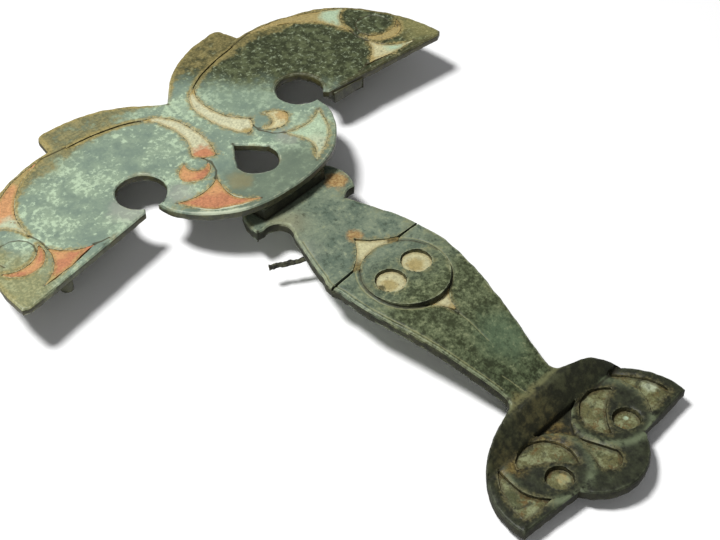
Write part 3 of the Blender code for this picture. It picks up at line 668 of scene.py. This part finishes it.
def enamel_bed(node, finish, rise, slump_limit):
    """A pitted bed in place of the node's plain one: it fills its cell, its top moved up by the rise."""
    form = merged_copy(node)
    trees = edge_trees(form)
    bmesh.ops.dissolve_limit(form, angle_limit=NEARLY_FLAT, verts=form.verts, edges=form.edges)
    cut_in_grid(form, ENAMEL_GRID)
    form = subdivided(form, node)
    stretch_into_tips(form, node)
    form.normal_update()
    middle = (max(vertex.co.z for vertex in form.verts) + min(vertex.co.z for vertex in form.verts)) / 2
    moves = []
    marks = []
    for vertex in form.verts:
        p, n = vertex.co, vertex.normal
        to_rim = trees[0].find(p)[2]
        marks.append((math.exp(-to_rim / (0.4 * MM)),) + (0.0,) * (len(MARKS) - 1))
        move = Vector((n.x, n.y, 0.0))
        if move.length > 0.3:
            move = move.normalized() * BED_GROWTH
        else:
            move = Vector((0.0, 0.0, 0.0))
        if p.z > middle:
            slump = ENAMEL_WEAR * (0.25 + 0.8 * cloud(p, 2.6)) * math.exp(-to_rim / (0.5 * MM))
            slump += ENAMEL_PITS * pits(p, 0.8) + 0.04 * MM * (0.5 + cloud(p, 0.5, 3))
            move.z = rise - min(max(slump, 0.0), slump_limit)
        moves.append(move)
    for vertex, move in zip(form.verts, moves):
        vertex.co += move
    piece = finished(node + "_bed", form, marks)
    piece.data.materials.append(new_material(node, finish))
    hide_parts(node)
    return piece


tip_owners = []
outlines = {name: bed_tree([name]) for name in nodes if name.endswith("_enamel")}
for tip in cell_tips("head_plate") + cell_tips("bow"):
    owner = min(outlines, key=lambda name: outlines[name].find(tip)[2])
    tip_owners.append((flat(tip), owner))
TIP_OWNERS = tuple(tip_owners)

HEAD_ENAMEL = {
    "left_wing_crescent": (ORANGE, [(MILK, (-0.81, -0.13), 2.8), (BUFF, (-0.60, 0.06), 1.8)], "red_enamel"),
    "left_wing_dot_crescent": (RED, [(ORANGE, (-0.86, -0.30), 1.2)], "red_enamel"),
    "left_wing_triangle": (RED, [(ORANGE, (-0.76, -0.32), 1.2), (BUFF, (-0.86, -0.40), 0.9)], "red_enamel"),
    "left_head_teardrop": (PALE, [(RED, (-0.105, -0.31), 1.7), (BUFF, (-0.12, -0.02), 0.9)], "cream_enamel"),
    "left_notch_crescent": (RED, [(ORANGE, (-0.22, -0.34), 1.2)], "red_enamel"),
    "left_pendant_triangle": (RED, [(ORANGE, (-0.20, -0.46), 1.6)], "red_enamel"),
    "right_wing_crescent": (BUFF, [(TURQUOISE, (0.82, -0.08), 2.6)], "cream_enamel"),
    "right_wing_dot_crescent": (BUFF, [(UMBER, (0.93, -0.28), 1.2)], "cream_enamel"),
    "right_wing_triangle": (CREAM, [(TURQUOISE, (0.82, -0.37), 1.6), (BUFF, (0.68, -0.36), 1.0)],
                            "turquoise_enamel"),
    "right_head_teardrop": (PALE, [(BUFF, (0.12, -0.02), 1.0), (BUFF, (0.08, -0.33), 0.8)], "cream_enamel"),
    "right_notch_crescent": (CREAM, [((204, 176, 120), (0.235, -0.36), 1.2)], "cream_enamel"),
    "right_pendant_triangle": (TURQUOISE, [(MILK, (0.19, -0.57), 2.2)], "turquoise_enamel"),
}
for name, (main, patches, slot) in HEAD_ENAMEL.items():
    enamel_bed(name + "_enamel", enamel_finish(main, patches, 0.6, 0.0), HEAD_RISE, 0.15 * MM)

# The bow. One casting from the neck under the head plate to the foot, with an old break across it
# above its round boss. It is grey-green at the neck and dark olive towards the ridge and the foot.
# FOOT_START, CREST_BAND and SLOPE_BAND are millimetres down from the middle notch.
BOSS_PLACE = (0.0, -1.131)
BOSS_RADIUS = 0.150
BOW_GRID = 1.55 * MM
BOW_NEARLY_FLAT = math.radians(0.4)
BOW_LINE_WIDTH = 0.12 * MM
BOW_LINE_DEPTH = 0.10 * MM
BOW_LINE_REACH = 0.15 * MM
BOSS_LINE_RADIUS = BOSS_RADIUS + 0.010
BEVEL_START = -0.80
BEVEL_END = -1.62
BEVEL_STEPS = 40
BEVEL_INSET = 0.60 * MM
RING_PLACE = (0.155, 0.053)
RING_RADIUS = 0.134
RING_RISE = 0.22 * MM
VALLEY_DEPTH = 0.38 * MM
RING_WIDTH = 0.014
FACE_REACH = 0.45 * MM
FOOT_START = (62.8, 64.6)
CREST_BAND = ((63.1, 63.5), (64.3, 63.9))
SLOPE_BAND = ((63.6, 64.2), (67.4, 66.6))
TAIL_LINE = [(0.0, -1.36), (0.003, -1.42), (0.001, -1.485)]
SCRATCHES = [[(-0.058, -1.590), (-0.047, -1.618), (-0.036, -1.668)]]


def band(distance, start, end):
    """1 between two places along a distance, with a soft start and a soft end."""
    return distance.rise(*start) * distance.rise(*end)


def bow_finish(place):
    along = axis(place, "Y") * -1.0
    cloudy = grain(place, 6.0, 4.0, 0.6)
    patchy = grain(place, 2.4, 5.0, 0.65)
    medium = grain(place, 1.2, 5.0, 0.65)
    fine = grain(place, 0.4, 4.0, 0.7)
    rim, corner, line = mark(place, "rim"), mark(place, "corner"), mark(place, "line")
    side, fringe, margin = mark(place, "side"), mark(place, "fringe"), mark(place, "margin")
    down = along + (cloudy - 0.5) * 10.0
    tint = mix(srgb(98, 114, 98), srgb(138, 150, 126), (patchy + fine * 0.5).rise(0.55, 0.95))
    tint = mix(tint, srgb(160, 172, 142), (medium + fine * 0.8).rise(1.02, 1.16) * 0.7)
    tint = mix(tint, srgb(160, 156, 124), spot(place, (-0.10, -0.70), 2.4, 0.7) * 0.5)
    mottle = patchy * 0.4 + medium * 0.6 + fine * 0.8
    middle = mix(srgb(60, 67, 41), srgb(106, 116, 83), mottle.rise(0.76, 1.02))
    middle = mix(middle, srgb(140, 146, 108), (medium + fine * 0.8).rise(0.98, 1.10) * 0.7)
    tint = mix(tint, middle, down.rise(37.0, 48.0))
    low = mix(srgb(50, 57, 34), srgb(96, 108, 76), mottle.rise(0.76, 1.04))
    tint = mix(tint, low, down.rise(50.0, 60.0))
    tint = mix(tint, srgb(106, 130, 100), spot(place, (0.05, -1.50), 2.8, 0.7) * 0.5)
    tint = mix(tint, srgb(150, 154, 140), spot(place, (-0.17, -0.83), 2.2, 0.7) * 0.35)
    tint = mix(tint, srgb(104, 98, 56), (margin + (patchy - 0.5) * 2.0).rise(0.75, 1.3) * 0.5)
    specks = grain(place, 0.6, 5.0, 0.75)
    tint = mix(tint, srgb(158, 164, 124), (specks + patchy * 0.4).rise(0.78, 0.90) * 0.45)
    tint = mix(tint, srgb(48, 52, 32), (specks + patchy * 0.4).rise(0.62, 0.52) * 0.45)
    foot = mix(srgb(30, 32, 21), srgb(56, 60, 41), (medium + fine * 0.5).rise(0.5, 0.95))
    foot = mix(foot, srgb(72, 80, 58), (patchy + fine * 0.4).rise(0.78, 0.95) * 0.5)
    on_foot = along.rise(*FOOT_START)
    ring = mark(place, "raised") * (patchy + fine * 0.3).rise(0.50, 0.72)
    foot = mix(foot, srgb(106, 116, 88), ring * 0.8)
    tint = mix(tint, foot, on_foot)
    dirt = mix(srgb(58, 44, 20), srgb(136, 116, 62), (fine * 0.7 + medium * 0.6).rise(0.5, 0.85))
    recess = spot(place, (-0.06, -1.760), 3.4, 0.5) + spot(place, (-0.24, -1.77), 2.0, 0.5)
    tint = mix(tint, dirt, (recess * medium.rise(0.3, 0.6)).math("MINIMUM", 1.0) * 0.8)
    stains = spot(place, (0.165, -0.675), 1.5, 0.4) + spot(place, (0.010, -0.902), 1.0, 0.5)
    tint = mix(tint, mix(srgb(160, 116, 62), srgb(200, 164, 104), fine.rise(0.4, 0.6)), stains * 0.8)
    halo = (fringe + (medium - 0.5) * 1.2 + (fine - 0.5) * 0.8).rise(0.35, 0.9)
    earth = mix(srgb(92, 82, 44), srgb(150, 138, 88), fine.rise(0.38, 0.62))
    tint = mix(tint, earth, halo * (0.7 - on_foot * 0.35))
    # Pale rubbed rims on the top faces, which also serve as a painted highlight along the bow's edges; little
    # on the foot.
    wear_and_sheen = (rim + fine * 0.5 + medium * 0.4).rise(1.1, 1.5) * (1.0 - on_foot * 0.85) * (1.0 - side)
    tint = mix(tint, srgb(176, 186, 150), wear_and_sheen * 0.7)
    slope = band(along, *SLOPE_BAND)
    shade = (corner + (medium - 0.5) * 0.7).rise(0.40, 0.95)
    tint = mix(tint, srgb(40, 36, 22), shade * (0.8 - slope * 0.5))
    scratched = (line + (fine - 0.5) * 0.7 + (medium - 0.5) * 0.8).rise(0.35, 0.9)
    tint = mix(tint, srgb(156, 156, 112), scratched * 0.55)
    # Painted shade: the bow's side walls are darkened as faces turned from the light, less so beside the
    # enamel.
    painted_wall_shade = mix(srgb(20, 21, 12), srgb(54, 54, 34), (medium + fine * 0.5).rise(0.5, 0.95))
    # Painted shade: the slope below the foot's crest is darkened as a face lying in shade.
    tint = mix(tint, mix(srgb(44, 46, 30), srgb(78, 80, 54), medium.rise(0.4, 0.65)), slope * 0.75)
    # Painted highlight: a lighter band along the top of the foot's crest.
    crest = band(along, *CREST_BAND) * (1.0 - side)
    tint = mix(tint, srgb(124, 124, 84), crest * (medium + fine * 0.4).rise(0.5, 0.8) * 0.6)
    tint = mix(tint, painted_wall_shade, side.rise(0.72, 0.95) * (0.95 - fringe * 0.4))
    height = fine * 0.6 + grain(place, 0.2, 3.0, 0.7) * 0.5 + medium * 0.5
    normal = place.node("ShaderNodeBump", {}, {"Strength": 0.55, "Distance": 0.07 * MM, "Height": height})
    return {
        "Base Color": tint,
        "Roughness": (0.46 + (fine - 0.5) * 0.3 + shade * 0.3 + side * 0.35).math("MINIMUM", 0.95),
        "Metallic": 0.0,
        "Specular IOR Level": 0.35,
        "Normal": normal,
    }


def bed_middle(node):
    """The middle of a bed's box, in the plate's frame."""
    low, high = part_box(node)
    return TO_PLATE @ ((Vector(low) + Vector(high)) / 2)


left_eye, right_eye = bed_middle("left_foot_hole_enamel"), bed_middle("right_foot_hole_enamel")
foot_across = flat(right_eye - left_eye).normalized()
foot_along = Vector((-foot_across.y, foot_across.x, 0.0))
foot_middle = flat(left_eye + right_eye) / 2
foot_face = max((TO_PLATE @ vertex.co).z for vertex in nodes["foot_drop_enamel"].data.vertices)


def step(value, low, high):
    """A smooth step from 0 at low to 1 at high, for plain numbers."""
    share = min(1.0, max(0.0, (value - low) / (high - low)))
    return share * share * (3 - 2 * share)


def foot_relief(point):
    """How far the foot's face stands up at a point: a raised band round each eye, low ground above them."""
    place = flat(point) - foot_middle
    x, y = place.dot(foot_across) / HALF_WIDTH, place.dot(foot_along) / HALF_WIDTH
    if not -0.2 < y < 0.25 or abs(point.z - foot_face) > FACE_REACH:
        return 0.0
    away = math.hypot(abs(x) - RING_PLACE[0], y - RING_PLACE[1])
    ring = math.exp(-((away - RING_RADIUS) / RING_WIDTH) ** 2) * (0.6 + 0.5 * cloud(point, 2.5))
    low = step(away, RING_RADIUS + 0.012, RING_RADIUS + 0.032) * step(y, 0.045, 0.085)
    low *= 1 - step(abs(x), 0.28, 0.36)
    low *= 0.7 + 0.6 * cloud(point + Vector((0.1, 0, 0)), 1.8)
    return ring * RING_RISE - low * VALLEY_DEPTH


def bow_roughness(point):
    """How rough the bow's surface is: more so on the foot."""
    return 0.8 + 0.5 * min(1.0, max(0.0, (-point.y / HALF_WIDTH - 1.6) / 0.3))


def left_edge(form, y):
    """How far left the form reaches where it crosses a line at the given y."""
    crossings = []
    for edge in form.edges:
        a, b = edge.verts[0].co, edge.verts[1].co
        if (a.y - y) * (b.y - y) < 0:
            crossings.append(a.lerp(b, (y - a.y) / (b.y - a.y)).x)
    return min(crossings)


form = merged_copy("bow")
bevel = []
for k in range(BEVEL_STEPS + 1):
    y = (BEVEL_START + (BEVEL_END - BEVEL_START) * k / BEVEL_STEPS) * HALF_WIDTH
    bevel.append(((left_edge(form, y) + BEVEL_INSET) / HALF_WIDTH, y / HALF_WIDTH))
bow_lines = line_tree([arc(BOSS_PLACE, BOSS_LINE_RADIUS, 0, 360), TAIL_LINE, bevel, *SCRATCHES])
bow_trees = edge_trees(form)
bmesh.ops.dissolve_limit(form, angle_limit=BOW_NEARLY_FLAT, verts=form.verts, edges=form.edges)
cut_in_grid(form, BOW_GRID)
form = subdivided(form, "bow_fine")
refine_along(form, bow_lines, BOW_LINE_REACH)
marks = worn_metal(form, bow_trees, beds, bow_lines, BOW_LINE_WIDTH, BOW_LINE_DEPTH, bow_roughness,
                   foot_relief)
bow = finished("bow_patina", form, marks)
bow.data.materials.append(new_material("bow_patina", bow_finish))
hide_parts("bow")

# The enamel of the bow and the foot. Cream lies in the cells by the boss and in its two holes; the
# foot's cells keep only an earthy, yellowish-olive bed.
BOW_ENAMEL = {
    "bow_head": (CREAM, [(UMBER, (-0.10, -1.01), 1.6), (UMBER, (0.105, -1.01), 1.5)], "cream_enamel"),
    "bow_tail": (BUFF, [(CREAM, (0.0, -1.30), 1.0)], "cream_enamel"),
    "left_boss_hole": (CREAM, [(BUFF, (-0.075, -1.13), 1.0), (UMBER, (-0.10, -1.12), 0.5)], "cream_enamel"),
    "right_boss_hole": (CREAM, [(BUFF, (0.055, -1.13), 1.1)], "cream_enamel"),
    "left_foot_comma": (OCHRE, [(OLIVE, (-0.12, -1.90), 1.5)], "ochre_enamel"),
    "right_foot_comma": (OCHRE, [(OLIVE, (0.12, -1.90), 1.7)], "ochre_enamel"),
    "left_foot_triangle": (OCHRE, [(OLIVE, (-0.34, -1.85), 1.6)], "ochre_enamel"),
    "right_foot_triangle": (OCHRE, [(MILK, (0.33, -1.90), 1.0)], "ochre_enamel"),
    "left_foot_hole": (OCHRE, [(BUFF, (-0.16, -1.92), 0.8)], "ochre_enamel"),
    "right_foot_hole": (OCHRE, [(TURQUOISE, (0.17, -1.92), 0.3)], "ochre_enamel"),
    "foot_drop": (OCHRE, [(OLIVE, (0.0, -1.93), 1.2)], "ochre_enamel"),
}
for name, (main, patches, slot) in BOW_ENAMEL.items():
    # The foot's beds sit lower, are heavily gritted and get a strong painted shade along their rims; the
    # others get a little of each.
    rise, slump, decay_and_rim_shade = (FOOT_RISE, 0.07 * MM, 0.85) if "foot" in name else (0.0, 0.15 * MM, 0.15)
    enamel_bed(name + "_enamel", enamel_finish(main, patches, 0.4, decay_and_rim_shade), rise, slump)

# The stump of the spring's bar. A thin rod that held the pin's spring, corroded to a rough, knotty
# black stub where it sticks out past the bow's left side.
BAR_KNOTS = 0.24 * MM
BAR_GRID = 0.5 * MM


def bar_finish(place):
    medium = grain(place, 0.8, 4.0, 0.65)
    fine = grain(place, 0.2, 3.0, 0.7)
    tint = mix(srgb(24, 24, 18), srgb(88, 88, 66), (medium + fine * 0.4).rise(0.60, 0.85))
    height = fine + medium
    normal = place.node("ShaderNodeBump", {}, {"Strength": 0.8, "Distance": 0.08 * MM, "Height": height})
    return {"Base Color": tint, "Roughness": 0.8 + (fine - 0.5) * 0.2, "Normal": normal}


form = merged_copy("axis_bar")
bmesh.ops.dissolve_limit(form, angle_limit=NEARLY_FLAT, verts=form.verts, edges=form.edges)
cut_in_grid(form, BAR_GRID)
form = subdivided(form, "bar_fine")
form.normal_update()
moves = []
for vertex in form.verts:
    eaten = min(1.0, max(0.0, 0.3 + cloud(vertex.co, 0.9, 3)))
    moves.append(vertex.normal * -BAR_KNOTS * eaten)
for vertex, move in zip(form.verts, moves):
    vertex.co += move
bar = finished("axis_bar_stump", form, [(0.0,) * len(MARKS)] * len(form.verts))
bar.data.materials.append(new_material("corroded_bar", bar_finish))
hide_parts("axis_bar")
